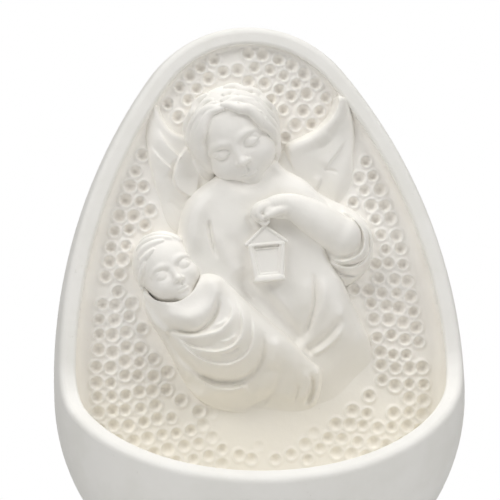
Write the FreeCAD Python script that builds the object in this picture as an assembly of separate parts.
import FreeCAD, Part
import math
import os

# Wall-hung holy water stoup: an egg-shaped cast shell whose scooped rim runs down into the lip of
# a water bowl, a dimpled relief panel set in its niche, a guardian angel with a lantern and a
# swaddled child built up on the panel, and a steel keyhole hanger let into the back.
# Millimetres. While a piece is made, z = 0 is the lowest point of the shell, y = 0 is the wall, the
# room is towards -Y and +X is the viewer's right. The figures are made with z = 0 at the hem of the
# angel's robe and then lifted onto the panel. Every piece is moved at the end, so that the origin of
# the finished part is the centre of the keyhole's entry hole on the wall plane.

# ---- driving dimensions ----

# shell
WIDTH = 100.0               # across the widest level
HEIGHT = 140.0              # lowest point to crown
BELLY_RISE = 1.0            # widest level above a level half the width from the bottom
CROWN_RADIUS = 30.0         # arc at the narrow end
LOWER_SIDE_RADIUS = 80.0    # arc from the widest level down towards the bottom
BACK_BAND = 4.0             # straight band against the wall, before the egg starts to round off
WALL = 4.0                  # thickness of the bowl's wall and width of the rim
BACK_WALL = 6.5             # thickness behind the panel, deep enough for the hanger's pocket

# scooped front: a nearly upright frame face, a bend, and a slope down to the lip of the bowl
FRAME_DEPTH = 11.0          # wall plane to frame face at the crown
FRAME_LEAN = 0.049          # how far the frame face comes forward per millimetre down
LIP_LEVEL = 31.3            # height of the slope where it stands LIP_SETBACK behind the front
LIP_SETBACK = 4.0
LIP_SLOPE = 0.61            # fall of the slope per millimetre forward
BEND_RADIUS = 14.0          # between frame face and slope
RIM_OUTER_ROUND = 1.5
RIM_INNER_ROUND = 0.8

# relief panel
PANEL_THICKNESS = 2.5
PANEL_GAP = 0.15            # cement joint round the edge of the panel
COVE_RADIUS = 4.0           # of the coved border at the sides and below
COVE_CROWN = 0.8            # of the border at the crown
COVE_LEVEL = 78.0           # below this level the border has its full height
COVE_LAND = 0.5             # flat top of the border
COVE_SHARES = (0.0, 0.12, 0.4, 1.0)     # heights at which the cove's curve is set
PIT_PITCH = 3.75            # spacing of the dimples in a row
PIT_ROW = 3.4               # spacing of the rows
PIT_CLOSEST = 0.8           # share of the spacing that two dimples at least stand apart
PIT_WIDTH = 2.8             # across the corners of a dimple at the surface
PIT_FLOOR = 1.5             # across the corners at its floor
PIT_DEPTH = 0.7
PIT_BORDER = 0.5            # plain land between the dimples and the cove
PIT_CLEAR = 0.6             # plain land between the dimples and the figures
PIT_LOWEST = 34.0           # the field is plain below this level

# figures, seated on the panel, with their levels measured up from the hem of the angel's robe: a
# place is (x, level), and a third number is how far it stands proud of the panel's face
RELIEF_DROP = 104.0         # crown of the shell to the hem

# wings: outlines of lines (two points) and arcs (three points)
WING_LONG = 1.6                         # how proud the long feathers are
WING_SHORT = 2.6                        # and the short feathers over them
WING_EDGE = 1.4                         # radius of the rounded leading edge
FEATHER_GROOVE = 0.4                    # radius of the grooves between feathers
RIGHT_WING = [
    [(22.2, 86.7), (18.6, 78.0), (7.0, 72.3)],
    [(7.0, 72.3), (13.0, 60.5)],
    [(13.0, 60.5), (19.5, 56.0)],
    [(19.5, 56.0), (24.4, 67.0), (24.9, 78.0)],
    [(24.9, 78.0), (24.4, 82.8), (22.2, 86.7)],
]
RIGHT_WING_SHORT = [
    [(22.2, 86.7), (18.6, 78.0), (7.0, 72.3)],
    [(7.0, 72.3), (12.0, 65.0)],
    [(12.0, 65.0), (17.4, 67.8)],
    [(17.4, 67.8), (22.6, 75.6), (22.2, 86.7)],
]
RIGHT_WING_EDGE = [(21.2, 83.4, 1.5), (17.8, 76.8, 1.6), (8.0, 72.0, 1.7)]
RIGHT_WING_GROOVES = [((15.0, 62.8), (16.8, 66.4)), ((17.6, 67.4), (22.0, 66.6))]
LEFT_WING = [
    [(-22.9, 85.8), (-21.6, 80.2), (-14.0, 76.4)],
    [(-14.0, 76.4), (-9.0, 64.0)],
    [(-9.0, 64.0), (-18.5, 56.5)],
    [(-18.5, 56.5), (-24.5, 66.5), (-25.5, 75.0)],
    [(-25.5, 75.0), (-25.0, 81.0), (-22.9, 85.8)],
]
LEFT_WING_SHORT = [
    [(-17.0, 73.5), (-11.0, 73.0)],
    [(-11.0, 73.0), (-11.0, 63.0)],
    [(-11.0, 63.0), (-16.0, 63.6)],
    [(-16.0, 63.6), (-19.4, 68.4), (-17.0, 73.5)],
]
LEFT_WING_EDGE = [(-22.0, 82.4, 1.5), (-20.4, 78.6, 1.5), (-15.0, 75.6, 1.6)]
LEFT_WING_GROOVES = [((-22.6, 76.8), (-18.0, 71.6)), ((-24.0, 72.4), (-19.6, 68.0))]

# angel
ROBE = [                                # level, left edge, right edge, proud, roundings left and right
    (70.5, -3.5, 6.2, 4.2, 2.0, 2.0),
    (66.0, -10.4, 12.4, 6.6, 2.6, 2.6),
    (62.0, -15.3, 16.4, 8.0, 3.0, 3.0),
    (54.0, -18.2, 21.5, 8.8, 3.4, 3.4),
    (42.0, -19.0, 20.8, 8.4, 3.6, 3.6),
    (34.0, -19.3, 23.4, 7.6, 5.0, 5.0),
    (26.0, -18.5, 26.9, 6.2, 8.0, 8.0),
    (18.0, -16.0, 26.6, 3.6, 9.0, 9.0),
    (11.0, -11.5, 22.0, 1.4, 7.0, 7.0),
    (5.5, -4.5, 13.5, 0.4, 5.0, 5.0),
]
CROWN_SHARE = 0.04                      # how much fuller cloth is in the middle than at its shoulders
ROBE_FOLDS = [                          # radius of each fold's groove, and its path
    (0.9, [(13.2, 44.2, 9.8), (13.4, 39.0, 8.0), (13.2, 34.0, 7.2), (12.0, 30.2, 6.8), (10.4, 26.4, 6.6)]),
    (1.0, [(20.8, 34.0, 8.4), (18.0, 29.6, 6.8), (15.0, 26.4, 6.1), (10.4, 23.2, 6.0)]),
    (0.8, [(-11.9, 58.2, 10.0), (-11.2, 54.0, 8.6), (-10.6, 50.4, 8.5), (-9.2, 45.8, 9.8)]),
    (2.2, [(-6.6, 45.2, 11.0), (-1.4, 39.4, 8.8), (3.6, 34.2, 8.2), (8.2, 29.2, 7.6), (11.0, 25.2, 7.4)]),
]
HEAD_AT = (-3.5, 76.6, 2.6)
HEAD_LONG = 26.0                        # chin to crown
HEAD_BROAD = 20.0
HEAD_TILT = 25.0                        # the crown leans to the viewer's left
HAIR = 1.5                              # thickness of the hair round the head
FACE_SHARE = 0.4                        # of the head's length and breadth, each side of the face's middle
NECK_RADIUS = 4.6
ELBOW = (20.2, 51.5, 6.4)
WRIST = (9.0, 58.4, 9.0)
KNUCKLES = (2.8, 59.6, 9.9)
GRIP = (0.7, 56.1, 10.0)                # fingertips
ELBOW_RADIUS = 4.7
WRIST_RADIUS = 2.9
KNUCKLE_RADIUS = 1.9
FINGER_RADIUS = 1.0
SLEEVE = [                              # as for the robe
    (39.6, 19.6, 23.4, 3.0, 1.6, 1.6),
    (43.6, 16.8, 27.0, 6.2, 3.4, 3.8),
    (48.4, 15.0, 28.6, 7.4, 3.4, 4.4),
    (52.2, 14.0, 28.2, 8.0, 3.4, 4.4),
    (56.0, 13.2, 26.0, 7.8, 3.4, 4.4),
    (60.0, 12.2, 20.2, 8.8, 3.0, 3.6),
    (63.6, 12.4, 14.6, 6.0, 0.9, 0.9),
]
CUFF_RADIUS = 0.8
CUFFS = [                               # rolls of the fallen sleeve round the elbow
    [(15.2, 49.8, 5.4), (17.4, 46.6, 6.6), (21.2, 45.2, 6.8), (24.8, 47.0, 6.8), (26.4, 51.0, 6.8),
     (24.6, 56.4, 5.4)],
    [(16.2, 46.8, 4.4), (18.2, 44.5, 5.9), (21.6, 43.5, 6.1), (25.2, 45.1, 5.9), (27.3, 48.6, 5.3),
     (27.4, 52.4, 4.0)],
]
CUFF_GROOVE_RADIUS = 0.6                # between the first cuff and the arm
CUFF_GROOVE = [(15.4, 51.4, 8.8), (17.4, 47.8, 7.6), (20.8, 46.5, 7.6), (23.9, 47.9, 7.8), (25.2, 51.2, 8.8)]

# lantern
LANTERN_AT = (1.9, 45.9, 5.6)           # middle of the body's back
LANTERN_TALL = 8.7
LANTERN_FOOT = 7.4                      # breadth at the foot
LANTERN_HEAD = 9.0                      # breadth under the roof
LANTERN_EAVES = 10.2
LANTERN_ROOF = 4.2                      # eaves to ridge
LANTERN_DEPTH = 5.0
LANTERN_OVERHANG = 0.4                  # of the roof over the body's front
LANTERN_FRAME = 1.2                     # round the window
LANTERN_WINDOW = 0.8                    # depth of the window
LANTERN_RING = 1.2                      # radius of the ring
LANTERN_WIRE = 0.4                      # radius of the ring's wire
LANTERN_TURN = 3.0

# child
CHILD_HEAD_AT = (-22.1, 45.8, 2.2)
CHILD_HEAD_LONG = 18.4
CHILD_HEAD_BROAD = 15.0
CHILD_HEAD_TILT = 28.0
CHILD_HAIR = 0.7
WRAP_FROM = (-20.0, 40.0)               # where the bundle's own levels are measured from
WRAP_TURN = -130.0                      # its levels run down to the viewer's right
WRAP = [                                # as for the robe, before it is turned
    (-4.5, 1.0, 5.6, 3.4, 1.8, 2.0),
    (-1.8, -2.0, 8.3, 6.4, 3.6, 4.4),
    (1.6, -7.8, 9.8, 8.8, 4.6, 7.0),
    (7.0, -10.6, 12.2, 10.0, 5.2, 9.0),
    (14.0, -9.8, 15.3, 10.6, 5.6, 12.0),
    (21.0, -9.0, 17.2, 10.4, 6.0, 14.0),
    (28.0, -8.4, 16.0, 9.4, 6.0, 14.0),
    (34.0, -7.6, 12.4, 7.8, 6.0, 11.0),
    (39.0, -6.4, 8.8, 5.6, 5.0, 7.5),
    (43.2, -2.6, 3.6, 2.4, 2.2, 2.8),
]
WRAP_FOLDS = [                          # the cloth's grooves, nested round the child
    (0.8, [(-23.6, 32.0, 8.4), (-18.8, 30.2, 9.3), (-15.2, 29.9, 9.7), (-12.4, 31.6, 9.9), (-10.2, 35.0, 9.9),
           (-9.2, 40.8, 10.8)]),
    (0.7, [(-20.8, 26.8, 7.6), (-15.4, 23.6, 9.0), (-10.2, 23.4, 10.0), (-6.2, 25.6, 10.3),
           (-4.1, 30.0, 10.2), (-3.9, 35.8, 10.8)]),
    (1.1, [(-20.8, 26.0, 6.4), (-16.6, 21.0, 6.9), (-12.4, 18.2, 8.0), (-7.6, 17.3, 8.7), (-3.2, 18.6, 9.1),
           (-0.4, 22.4, 9.5), (0.4, 27.0, 9.9), (-0.1, 32.2, 11.0)]),
    (0.8, [(-11.0, 11.6, 5.0), (-5.6, 10.5, 5.2), (-1.0, 11.5, 6.0), (2.6, 14.8, 7.3), (4.7, 20.0, 8.5),
           (5.4, 26.0, 10.4)]),
]

# hanger
HANGER_DROP = 28.0          # crown of the shell to the keyhole's entry hole
PLATE_LENGTH = 38.0
PLATE_HEIGHT = 20.0
PLATE_THICKNESS = 1.0
PLATE_CORNER = 3.0
PLATE_RISE = 3.5            # middle of the plate above the entry hole
PLATE_GAP = 0.1             # round the plate in its rebate
ENTRY_RADIUS = 4.0          # lets the head of the wall screw in
SLOT_WIDTH = 4.0            # rides on the shank of the wall screw
SLOT_RISE = 8.0             # entry hole to the top of the slot
POCKET_DEPTH = 4.2          # room behind the plate for the head of the wall screw
POCKET_CLEAR = 1.5          # round the entry hole and the slot
SCREW_SPREAD = 28.0         # between the two screws
SCREW_SHANK = 1.2           # radius
SCREW_HEAD = 2.4            # radius
SCREW_LENGTH = 4.6
SCREW_SLOT = 0.6            # width and depth of the driver's slot
SCREW_GAP = 0.03            # round the countersunk head
PLUG_RADIUS = 2.5
PLUG_LENGTH = 4.2
PLUG_GAP = 0.05             # shank to plug

# values worked out from those above
HALF = WIDTH / 2
WIDEST_LEVEL = HALF + BELLY_RISE
LIP_DEPTH = BACK_BAND + HALF - LIP_SETBACK
RELIEF_FOOT = HEIGHT - RELIEF_DROP      # level of the hem
HANGER_LEVEL = HEIGHT - HANGER_DROP     # level of the keyhole's entry hole
FIELD = BACK_WALL + PANEL_THICKNESS     # wall plane to the front of the panel
FAR = 2 * (WIDTH + HEIGHT)              # longer than anything here
V = FreeCAD.Vector
UP = V(0, 0, 1)
OUT = V(0, -1, 0)                       # out of the wall


# ---- small helpers ----

def on_plane(x, z, depth):
    """A point so many millimetres in front of the wall."""
    return V(x, -depth, z)


def on_field(x, z, proud=0.0):
    """A point so many millimetres in front of the panel's face."""
    return V(x, -(FIELD + proud), z)


def slab(near, far):
    """Everything between two depths from the wall."""
    return Part.makeBox(2 * FAR, far - near, 2 * FAR, V(-FAR, -far, -FAR))


def outline_face(curves, depth):
    """A face parallel to the wall, bounded by lines (two points) and arcs (three points)."""
    edges = []
    for points in curves:
        ends = [on_plane(x, z, depth) for x, z in points]
        if len(ends) == 2:
            edges.append(Part.makeLine(ends[0], ends[1]))
        else:
            edges.append(Part.Arc(ends[0], ends[1], ends[2]).toShape())
    return Part.Face(Part.Wire(edges))


def turned(shape, x, z, degrees):
    """A copy turned counter-clockwise, as the viewer sees it, about a point (x, z)."""
    copy = shape.copy()
    copy.rotate(V(x, 0, z), OUT, degrees)
    return copy


# ---- egg outline, in arcs that meet tangentially ----

def egg_arcs(half=HALF, top=HEIGHT, bottom=0.0, crown_radius=CROWN_RADIUS, lower_radius=LOWER_SIDE_RADIUS):
    """The right half from crown to bottom: centre (x, z), radius, start angle and end angle."""
    crown = (0.0, top - crown_radius)
    rise = crown[1] - WIDEST_LEVEL
    side_radius = (half ** 2 + rise ** 2 - crown_radius ** 2) / (2 * (half - crown_radius))
    side = (half - side_radius, WIDEST_LEVEL)
    drop = WIDEST_LEVEL - bottom
    bottom_radius = (half * (2 * lower_radius - half) - drop ** 2) / (2 * (lower_radius - drop))
    lower = (half - lower_radius, WIDEST_LEVEL)
    base = (0.0, bottom + bottom_radius)
    crown_turn = math.atan2(crown[1] - side[1], crown[0] - side[0])
    base_turn = math.atan2(base[1] - lower[1], base[0] - lower[0])
    quarter = math.pi / 2
    return [
        (crown, crown_radius, quarter, crown_turn),
        (side, side_radius, crown_turn, 0.0),
        (lower, lower_radius, 0.0, base_turn),
        (base, bottom_radius, base_turn, -quarter),
    ]


def arc_points(arcs, inset=0.0):
    """Those arcs, moved in by inset, as three-point arcs."""
    curves = []
    for centre, radius, start, end in arcs:
        curve = []
        for angle in (start, (start + end) / 2, end):
            reach = radius - inset
            curve.append((centre[0] + reach * math.cos(angle), centre[1] + reach * math.sin(angle)))
        curves.append(curve)
    return curves


def mirrored(curves):
    """The left half that closes a right half."""
    return [[(-x, z) for x, z in reversed(curve)] for curve in reversed(curves)]


def half_width(level, inset=0.0):
    """Half the outline's width at a level, or 0 above the crown and below the bottom."""
    for centre, radius, start, end in egg_arcs():
        reach = radius - inset
        high = centre[1] + reach * math.sin(start)
        low = centre[1] + reach * math.sin(end)
        if low <= level <= high:
            return centre[0] + math.sqrt(max(0.0, reach ** 2 - (level - centre[1]) ** 2))
    return 0.0


def egg_body(inset):
    """Half an egg against the wall: a straight band, then half a turn about the band's front face."""
    right = arc_points(egg_arcs(), inset)
    band = outline_face(right + mirrored(right), 0.0).extrude(OUT * BACK_BAND)
    axis = [right[-1][-1], right[0][0]]
    half = outline_face(right + [axis], BACK_BAND)
    dome = half.revolve(on_plane(0, 0, BACK_BAND), UP, -180)
    return band.fuse(dome)


# ---- shell ----

def scoop(back=0.0):
    """What is cut away in front of the frame face and above the slope, moved back towards the wall."""
    top = HEIGHT + CROWN_RADIUS
    frame_top = FRAME_DEPTH - FRAME_LEAN * (top - HEIGHT)
    # the frame face is depth = FRAME_DEPTH + FRAME_LEAN * (HEIGHT - z), and the slope is
    # z = LIP_LEVEL + LIP_SLOPE * (LIP_DEPTH - depth)
    corner = FRAME_DEPTH + FRAME_LEAN * (HEIGHT - LIP_LEVEL - LIP_SLOPE * LIP_DEPTH)
    corner_depth = corner / (1 - FRAME_LEAN * LIP_SLOPE)
    corner_level = LIP_LEVEL + LIP_SLOPE * (LIP_DEPTH - corner_depth)
    far_depth = BACK_BAND + WIDTH
    far_level = LIP_LEVEL + LIP_SLOPE * (LIP_DEPTH - far_depth)
    points = [
        V(-WIDTH, back - frame_top, top),
        V(-WIDTH, back - corner_depth, corner_level),
        V(-WIDTH, back - far_depth, far_level),
        V(-WIDTH, back - far_depth, top),
    ]
    block = Part.Face(Part.makePolygon(points + points[:1])).extrude(V(2 * WIDTH, 0, 0))
    bend = []
    for edge in block.Edges:
        if all(end.Point.distanceToLine(points[1], V(1, 0, 0)) < 1e-6 for end in edge.Vertexes):
            bend.append(edge)
    return block.makeFillet(BEND_RADIUS, bend)


def rim_edges(shape, cutter, inset):
    """The edges where the scoop meets the egg surface that lies inset inside the outside."""
    found = []
    for edge in shape.Edges:
        middle = edge.valueAt((edge.FirstParameter + edge.LastParameter) / 2)
        across = math.hypot(middle.x, min(0.0, middle.y + BACK_BAND))
        on_egg = abs(across - half_width(middle.z, inset)) < 0.01
        on_rim = cutter.Shells[0].distToShape(Part.Vertex(middle))[0] < 0.001
        if on_egg and on_rim:
            found.append(edge)
    return found


def keyhole(radius, width, depth_from, depth_to):
    """An entry hole with a slot that rises from it, between two depths from the wall."""
    length = depth_to - depth_from
    hole = Part.makeCylinder(radius, length, on_plane(0, HANGER_LEVEL, depth_from), OUT)
    slot = Part.makeBox(width, length, SLOT_RISE - width / 2, V(-width / 2, -depth_to, HANGER_LEVEL))
    slot_top = on_plane(0, HANGER_LEVEL + SLOT_RISE - width / 2, depth_from)
    end = Part.makeCylinder(width / 2, length, slot_top, OUT)
    return hole.fuse([slot, end]).removeSplitter()


def plate_blank(grow):
    """The hanger plate's outline as a solid, grown on each side for its rebate."""
    block = Part.makeBox(
        PLATE_LENGTH + 2 * grow,
        PLATE_THICKNESS,
        PLATE_HEIGHT + 2 * grow,
        V(-PLATE_LENGTH / 2 - grow, -PLATE_THICKNESS, HANGER_LEVEL + PLATE_RISE - PLATE_HEIGHT / 2 - grow),
    )
    corners = [e for e in block.Edges if abs(e.tangentAt(e.FirstParameter).y) > 0.99]
    return block.makeFillet(PLATE_CORNER + grow, corners)


def screw_places():
    return [(side * SCREW_SPREAD / 2, HANGER_LEVEL + PLATE_RISE) for side in (-1, 1)]


def shell():
    cutter = scoop()
    body = egg_body(0.0)
    hollow = egg_body(WALL).common(slab(BACK_WALL, FAR))
    body = body.cut(hollow).cut(cutter)
    body = body.makeFillet(RIM_OUTER_ROUND, rim_edges(body, cutter, 0.0))
    body = body.makeFillet(RIM_INNER_ROUND, rim_edges(body, cutter, WALL))
    cuts = [plate_blank(PLATE_GAP)]
    pocket_end = PLATE_THICKNESS + POCKET_DEPTH
    cuts.append(keyhole(ENTRY_RADIUS + POCKET_CLEAR, SLOT_WIDTH + 2 * POCKET_CLEAR, 0.0, pocket_end))
    for x, z in screw_places():
        cuts.append(Part.makeCylinder(PLUG_RADIUS, PLATE_THICKNESS + PLUG_LENGTH, on_plane(x, z, 0), OUT))
    return body.cut(cuts)


# ---- panel ----

def cove_inset(rise, radius):
    """How far a cove of that radius stands in from the wall at a height above the field."""
    if rise >= radius:
        return 0.0
    return radius - math.sqrt(radius ** 2 - (radius - rise) ** 2)


def cove_width(level):
    """How far the cove reaches in over the field at a level, growing from the crown down."""
    share = (HEIGHT - WALL - level) / (HEIGHT - WALL - COVE_LEVEL)
    return COVE_CROWN + (COVE_RADIUS - COVE_CROWN) * min(1.0, share)


def cove_loop(rise):
    """The closed edge of the cove at a height above the field, as an egg inside the shell's wall."""
    past = FIELD + rise - BACK_BAND
    inset = WALL + PANEL_GAP + COVE_LAND
    crown, side, lower, base = egg_arcs()
    crown_radius = math.sqrt((crown[1] - inset) ** 2 - past ** 2) - cove_inset(rise, COVE_CROWN)
    foot_radius = math.sqrt((base[1] - inset) ** 2 - past ** 2) - cove_inset(rise, COVE_RADIUS)
    reach = math.sqrt((HALF - inset) ** 2 - past ** 2) - cove_inset(rise, COVE_RADIUS)
    lower_radius = LOWER_SIDE_RADIUS - (HALF - reach)
    top, bottom = crown[0][1] + crown_radius, base[0][1] - foot_radius
    right = arc_points(egg_arcs(reach, top, bottom, crown_radius, lower_radius))
    return outline_face(right + mirrored(right), FIELD + rise).OuterWire


def panel_blank():
    """The flat panel and the coved border that rises from it to the shell's wall."""
    whole = egg_body(WALL + PANEL_GAP)
    hollow = Part.makeLoft([cove_loop(COVE_RADIUS * share) for share in COVE_SHARES], True, False)
    border = whole.common(slab(FIELD, FIELD + COVE_RADIUS)).cut(hollow)
    # the border is lower at the crown, where the frame face stands close over the panel
    top = HEIGHT - WALL
    side = [(FIELD + COVE_CROWN, top + WALL), (FIELD + COVE_CROWN, top), (FIELD + COVE_RADIUS, COVE_LEVEL)]
    side.append((FIELD + 2 * COVE_RADIUS, COVE_LEVEL))
    side.append((FIELD + 2 * COVE_RADIUS, top + WALL))
    wire = Part.makePolygon([V(-WIDTH, -depth, z) for depth, z in side + side[:1]])
    lid = Part.Face(wire).extrude(V(2 * WIDTH, 0, 0))
    return whole.common(slab(BACK_WALL, FIELD)).fuse(border.cut(lid)).removeSplitter()


def pit_centres():
    """Places of the dimples, in staggered rows that follow the border inwards."""
    border = WALL + PANEL_GAP + COVE_LAND + PIT_BORDER + PIT_WIDTH / 2
    centres = []
    for row in range(int(HALF / PIT_ROW)):
        spent = PIT_PITCH / 2 * (row % 2)
        for centre, radius, start, end in egg_arcs():
            length = (radius - border - COVE_RADIUS - PIT_ROW * row) * (start - end)
            while spent < length:
                angle = start - (start - end) * spent / length
                spent += PIT_PITCH
                level = centre[1] + radius * math.sin(angle)
                reach = radius - border - cove_width(level) - PIT_ROW * row
                place = (centre[0] + reach * math.cos(angle), centre[1] + reach * math.sin(angle))
                apart = min([math.dist(place, other) for other in centres], default=FAR)
                on_right = place[0] > -PIT_PITCH / 4 and place[1] > PIT_LOWEST
                if on_right and apart > PIT_CLOSEST * PIT_PITCH:
                    centres.append(place)
            spent -= max(0.0, length)
    return centres + [(-x, z) for x, z in centres if x > PIT_CLOSEST * PIT_PITCH / 2]


def pit(x, z):
    """One six-sided dimple that narrows towards its floor."""
    loops = []
    for width, depth in ((PIT_WIDTH, FIELD), (PIT_FLOOR, FIELD - PIT_DEPTH)):
        corners = []
        for corner in range(6):
            angle = math.radians(60 * corner + 30)
            corners.append(on_plane(x + width / 2 * math.cos(angle), z + width / 2 * math.sin(angle), depth))
        loops.append(Part.makePolygon(corners + corners[:1]))
    return Part.makeLoft(loops, True, True)


def panel(figures):
    """The panel with its dimples, which keep clear of the figures' footprints."""
    blank = panel_blank()
    foot = slab(FIELD, FIELD + PIT_CLEAR)
    footprints = [figure.common(foot) for figure in figures]
    footprints = [area for area in footprints if area.Solids]
    pits = []
    for x, z in pit_centres():
        spot = Part.Vertex(on_field(x, z))
        if all(f.distToShape(spot)[0] > PIT_WIDTH / 2 + PIT_CLEAR for f in footprints):
            pits.append(pit(x, z))
    return blank.cut(pits)


# ---- forms for the figures ----

def seated(shape):
    """The part of a form that stands in front of the panel's face."""
    return shape.common(slab(FIELD, FAR))


def spheroid(place, long, broad, tilt):
    """An egg-like solid: half an ellipse turned about its long axis, tilted in the wall's plane."""
    curve = Part.Ellipse(V(0, 0, long / 2), V(-broad / 2, 0, 0), V(0, 0, 0))
    arc = Part.ArcOfEllipse(curve, math.pi, 2 * math.pi).toShape()
    axis = Part.makeLine(arc.Vertexes[-1].Point, arc.Vertexes[0].Point)
    solid = Part.Face(Part.Wire([arc, axis])).revolve(V(0, 0, 0), UP, 360)
    solid = turned(solid, 0, 0, tilt)
    solid.translate(on_field(*place))
    return solid


def rod(start, end, start_radius, end_radius):
    """A tapered round rod between two points on the panel, each (x, z, proud)."""
    a, b = on_field(*start), on_field(*end)
    along = b - a
    if abs(start_radius - end_radius) < 1e-6:
        return Part.makeCylinder(start_radius, along.Length, a, along)
    return Part.makeCone(start_radius, end_radius, along.Length, a, along)


def mound(sections):
    """A swelling on the panel, lofted through arches with rounded shoulders and a slightly full top."""
    arches = []
    for level, left, right, proud, left_round, right_round in sections:
        a, b = on_field(left, level), on_field(right, level)
        c, d = on_field(left + left_round, level, proud), on_field(right - right_round, level, proud)
        corner = 1 - math.sqrt(0.5)
        rise = proud * math.sqrt(0.5)
        left_corner = on_field(left + left_round * corner, level, rise)
        right_corner = on_field(right - right_round * corner, level, rise)
        top = on_field((left + left_round + right - right_round) / 2, level, proud * (1 + CROWN_SHARE))
        arches.append(Part.Wire([
            Part.Arc(a, left_corner, c).toShape(),
            Part.Arc(c, top, d).toShape(),
            Part.Arc(d, right_corner, b).toShape(),
            Part.makeLine(b, a),
        ]))
    return Part.makeLoft(arches, True, False)


def tube(radius, points):
    """A round tube along a smooth curve through (x, level, proud) places on the panel."""
    places = [on_field(*point) for point in points]
    curve = Part.BSplineCurve()
    curve.interpolate(places)
    path = curve.toShape()
    start = Part.makeCircle(radius, places[0], path.tangentAt(path.FirstParameter))
    return Part.Wire(path).makePipeShell([Part.Wire(start)], True, True)


# ---- wings ----

def wing(outline, short_outline, edge, grooves):
    """A flat wing in two layers of feathers, with a rounded leading edge and grooves between feathers."""
    long_feathers = outline_face(outline, FIELD).extrude(OUT * WING_LONG)
    short_feathers = outline_face(short_outline, FIELD).extrude(OUT * WING_SHORT)
    cuts = []
    for start, end in grooves:
        a, b = on_field(*start, WING_LONG), on_field(*end, WING_LONG)
        cuts.append(Part.makeCylinder(FEATHER_GROOVE, (b - a).Length, a, b - a))
    return seated(long_feathers.fuse([short_feathers, tube(WING_EDGE, edge)]).cut(cuts))


# ---- angel ----

def angel_robe():
    """Shoulders, breast and skirt with its deep folds, flattening out towards the hem."""
    return mound(ROBE).cut([tube(radius, path) for radius, path in ROBE_FOLDS])


def angel_head():
    """Face and neck inside a cap of hair that is open round the face."""
    x, z, proud = HEAD_AT
    face = spheroid(HEAD_AT, HEAD_LONG, HEAD_BROAD, HEAD_TILT)
    cap = spheroid((x - HAIR / 4, z + HAIR, proud - HAIR / 4), HEAD_LONG, HEAD_BROAD + 2 * HAIR, HEAD_TILT)
    tall, broad = HEAD_LONG * FACE_SHARE, HEAD_BROAD * FACE_SHARE
    window = Part.Ellipse(V(0, 0, tall), V(broad, 0, 0), V(0, 0, 0)).toShape()
    window = turned(Part.Face(Part.Wire(window)).extrude(OUT * FAR), 0, 0, HEAD_TILT)
    window.translate(on_field(x + HAIR / 2, z - 2 * HAIR, proud))
    chin = (x + HEAD_LONG / 8, z - HEAD_LONG / 4, proud)
    throat = (x + HEAD_LONG / 5, z - HEAD_LONG / 2 + 1, proud - HAIR)
    neck = rod(chin, throat, NECK_RADIUS, NECK_RADIUS + HAIR / 2)
    return seated(cap.cut(window).fuse([face, neck]))


def angel_arm():
    """Forearm, back of the hand and fingers closed over the lantern's ring."""
    forearm = rod(ELBOW, WRIST, ELBOW_RADIUS, WRIST_RADIUS)
    elbow = Part.makeSphere(ELBOW_RADIUS, on_field(*ELBOW))
    hand = rod(WRIST, KNUCKLES, WRIST_RADIUS, KNUCKLE_RADIUS)
    knuckles = Part.makeSphere(KNUCKLE_RADIUS, on_field(*KNUCKLES))
    fingers = []
    for step in range(3):
        lift = (step - 1) * FINGER_RADIUS * 1.3
        start = (KNUCKLES[0], KNUCKLES[1], KNUCKLES[2] + lift)
        end = (GRIP[0] + FINGER_RADIUS / 2 * step, GRIP[1], GRIP[2] + lift)
        fingers.append(rod(start, end, FINGER_RADIUS, FINGER_RADIUS * 0.8))
    return seated(forearm.fuse([elbow, hand, knuckles] + fingers))


def angel_sleeve(arm):
    """The wide sleeve fallen back round the elbow, with its rolled cuffs."""
    rolls = [tube(CUFF_RADIUS, path) for path in CUFFS]
    return mound(SLEEVE).cut(tube(CUFF_GROOVE_RADIUS, CUFF_GROOVE)).fuse(rolls).cut(arm)


# ---- lantern ----

def flat_block(points, depth, thickness):
    """A polygon of (x, z) points at a depth from the wall, thickened towards the room."""
    wire = Part.makePolygon([on_plane(x, z, depth) for x, z in points + points[:1]])
    return Part.Face(wire).extrude(OUT * thickness)


def lantern():
    """A tapered four-sided lantern with a window, a pitched roof and a ring."""
    x, z, proud = LANTERN_AT
    back = FIELD + proud
    foot, top = z - LANTERN_TALL / 2, z + LANTERN_TALL / 2
    low, high, eaves = LANTERN_FOOT / 2, LANTERN_HEAD / 2, LANTERN_EAVES / 2
    sides = [(x - low, foot), (x + low, foot), (x + high, top), (x - high, top)]
    body = flat_block(sides, back, LANTERN_DEPTH)
    gable = [(x - eaves, top), (x + eaves, top), (x, top + LANTERN_ROOF)]
    roof = flat_block(gable, back, LANTERN_DEPTH + LANTERN_OVERHANG)
    low, high = low - LANTERN_FRAME, high - LANTERN_FRAME
    foot, sill = foot + LANTERN_FRAME, top - LANTERN_FRAME
    opening = [(x - low, foot), (x + low, foot), (x + high, sill), (x - high, sill)]
    window = flat_block(opening, back + LANTERN_DEPTH - LANTERN_WINDOW, LANTERN_WINDOW)
    ring_level = top + LANTERN_ROOF + LANTERN_RING - 2 * LANTERN_WIRE
    ring = Part.makeTorus(LANTERN_RING, LANTERN_WIRE, on_plane(x, ring_level, back + LANTERN_DEPTH - 1), OUT)
    return turned(body.cut(window).fuse([roof, ring]), x, ring_level, LANTERN_TURN)


# ---- child ----

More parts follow.
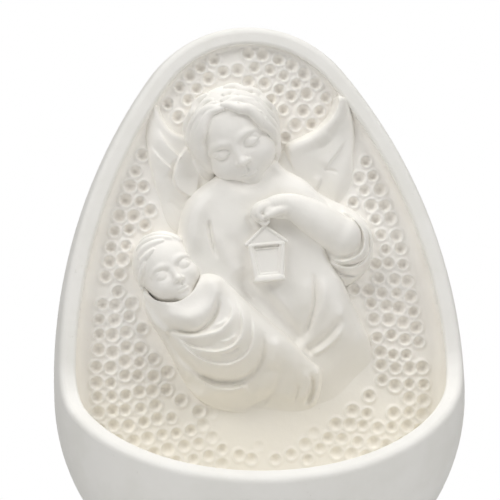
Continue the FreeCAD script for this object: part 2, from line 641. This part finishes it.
def child_head():
    """A round head with a close cap of hair above the brow."""
    x, z, proud = CHILD_HEAD_AT
    face = spheroid(CHILD_HEAD_AT, CHILD_HEAD_LONG, CHILD_HEAD_BROAD, CHILD_HEAD_TILT)
    grown = 2 * CHILD_HAIR
    cap = spheroid(CHILD_HEAD_AT, CHILD_HEAD_LONG + grown, CHILD_HEAD_BROAD + grown, CHILD_HEAD_TILT)
    below = turned(Part.makeBox(FAR, FAR, FAR, V(-FAR / 2, -FAR / 2, -FAR)), 0, 0, CHILD_HEAD_TILT)
    below.translate(V(x, 0, z + CHILD_HEAD_LONG / 6))
    return seated(cap.cut(below).fuse(face))


def child_wrap():
    """The swaddled body: a bundle lying across the lap, with folds of cloth nested round it."""
    x, z = WRAP_FROM
    bundle = mound(WRAP)
    bundle.translate(V(x, 0, z))
    return turned(bundle, x, z, WRAP_TURN).cut([tube(radius, path) for radius, path in WRAP_FOLDS])


# ---- hanger ----

def hanger_plate():
    plate = plate_blank(0.0).cut(keyhole(ENTRY_RADIUS, SLOT_WIDTH, 0.0, PLATE_THICKNESS))
    return plate.cut([screw_profile(x, z, SCREW_GAP) for x, z in screw_places()])


def screw_profile(x, z, grow):
    """A countersunk screw turned about its axis, grown for the hole that it sits in."""
    head, shank, taper = SCREW_HEAD + grow, SCREW_SHANK + grow, SCREW_HEAD - SCREW_SHANK
    points = [(0, 0), (head, 0), (shank, taper), (shank, SCREW_LENGTH), (0, SCREW_LENGTH), (0, 0)]
    profile = Part.Face(Part.makePolygon([V(r, -d, 0) for r, d in points]))
    screw = profile.revolve(V(0, 0, 0), V(0, 1, 0), 360)
    screw.translate(V(x, 0, z))
    return screw


def hanger_screws():
    screws = []
    for x, z in screw_places():
        start = V(x - SCREW_HEAD, -SCREW_SLOT, z - SCREW_SLOT / 2)
        slot = Part.makeBox(2 * SCREW_HEAD, SCREW_SLOT, SCREW_SLOT, start)
        screws.append(screw_profile(x, z, 0.0).cut(slot))
    return Part.makeCompound(screws)


def screw_plugs():
    plugs = []
    for x, z in screw_places():
        plug = Part.makeCylinder(PLUG_RADIUS, PLUG_LENGTH, on_plane(x, z, PLATE_THICKNESS), OUT)
        hole = Part.makeCylinder(SCREW_SHANK + PLUG_GAP, PLUG_LENGTH, on_plane(x, z, PLATE_THICKNESS), OUT)
        recess = screw_profile(x, z, PLUG_GAP)
        plugs.append(plug.cut([hole, recess]))
    return Part.makeCompound(plugs)


# ---- assembly ----

arm = angel_arm()
head = angel_head()
light = lantern()
sleeve = angel_sleeve(arm)
child = child_head()
wrap = child_wrap().cut(child)
robe = angel_robe().cut([arm, head, light, sleeve, child, wrap])
left = wing(LEFT_WING, LEFT_WING_SHORT, LEFT_WING_EDGE, LEFT_WING_GROOVES).cut([head, robe, child])
right = wing(RIGHT_WING, RIGHT_WING_SHORT, RIGHT_WING_EDGE, RIGHT_WING_GROOVES).cut([head, robe, sleeve])
figures = [arm, head, light, sleeve, child, wrap, robe, left, right]
for figure in figures:
    figure.translate(V(0, 0, RELIEF_FOOT))

pieces = {
    "shell": shell(),
    "relief_panel": panel(figures),
    "left_wing": left,
    "right_wing": right,
    "angel_robe": robe,
    "angel_head": head,
    "angel_arm": arm,
    "angel_sleeve": sleeve,
    "lantern": light,
    "child_wrap": wrap,
    "child_head": child,
    "hanger_plate": hanger_plate(),
    "hanger_screws": hanger_screws(),
    "screw_plugs": screw_plugs(),
}


os.makedirs("parts", exist_ok=True)
for name, shape in pieces.items():
    shape = shape.copy()
    shape.translate(V(0, 0, -HANGER_LEVEL))
    shape.exportStep("parts/" + name + ".step")
    print(name, shape.isValid(), len(shape.Solids), round(shape.Volume), len(shape.Faces), shape.BoundBox)
